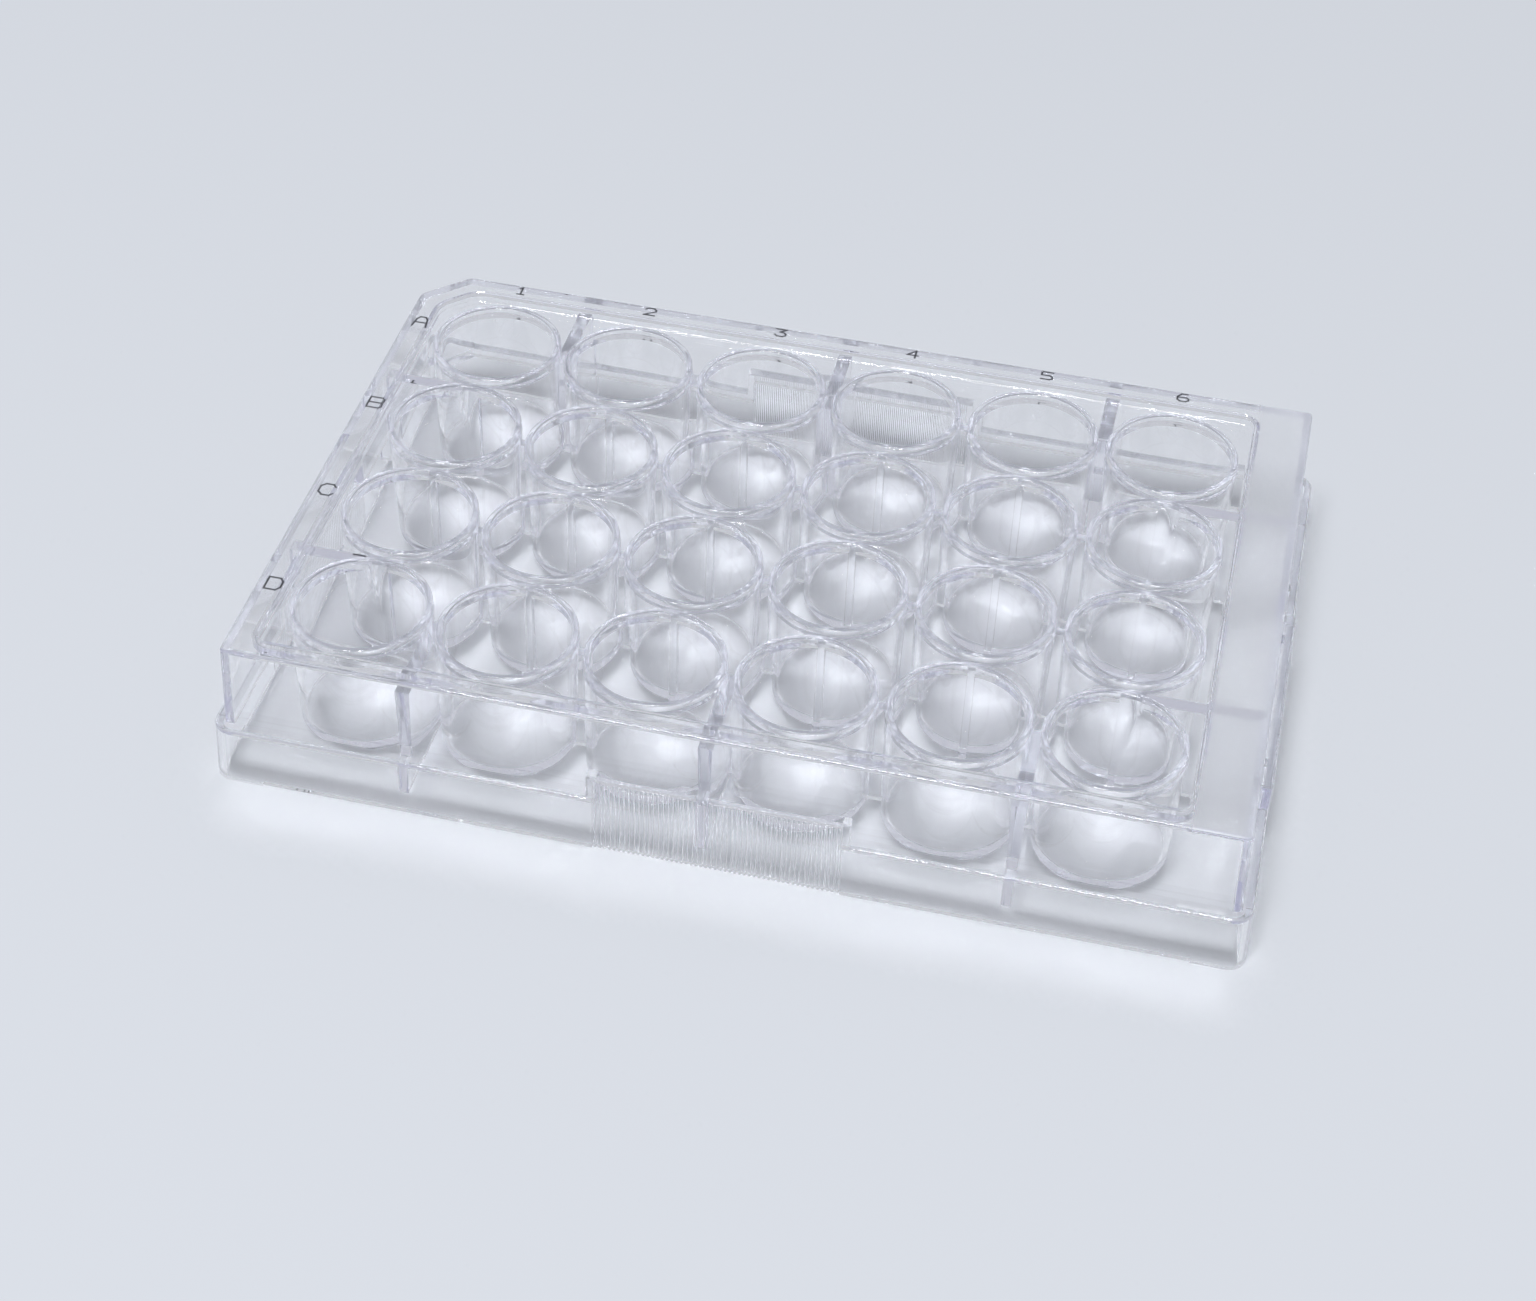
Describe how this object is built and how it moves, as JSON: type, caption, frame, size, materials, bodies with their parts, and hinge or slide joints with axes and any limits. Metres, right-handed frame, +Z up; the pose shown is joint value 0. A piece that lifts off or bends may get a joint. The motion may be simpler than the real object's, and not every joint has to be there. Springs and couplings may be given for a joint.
{
  "type": "well plate",
  "caption": "Clear moulded laboratory plate with a grid of round flat-bottomed wells, raised rims, a stepped skirt and fluted grips.",
  "frame": {"origin": "middle of the footprint, on the surface that the plate stands on", "axes": "+X along the numbered columns from the cut corner, +Y towards the row beside the cut corner, +Z up"},
  "size_m": [0.1278, 0.0854, 0.02],
  "materials": {
    "clear_polystyrene": "clear, glossy, moulded"
  },
  "bodies": {
    "root": {"well_plate": "clear_polystyrene"}
  },
  "joints": []
}
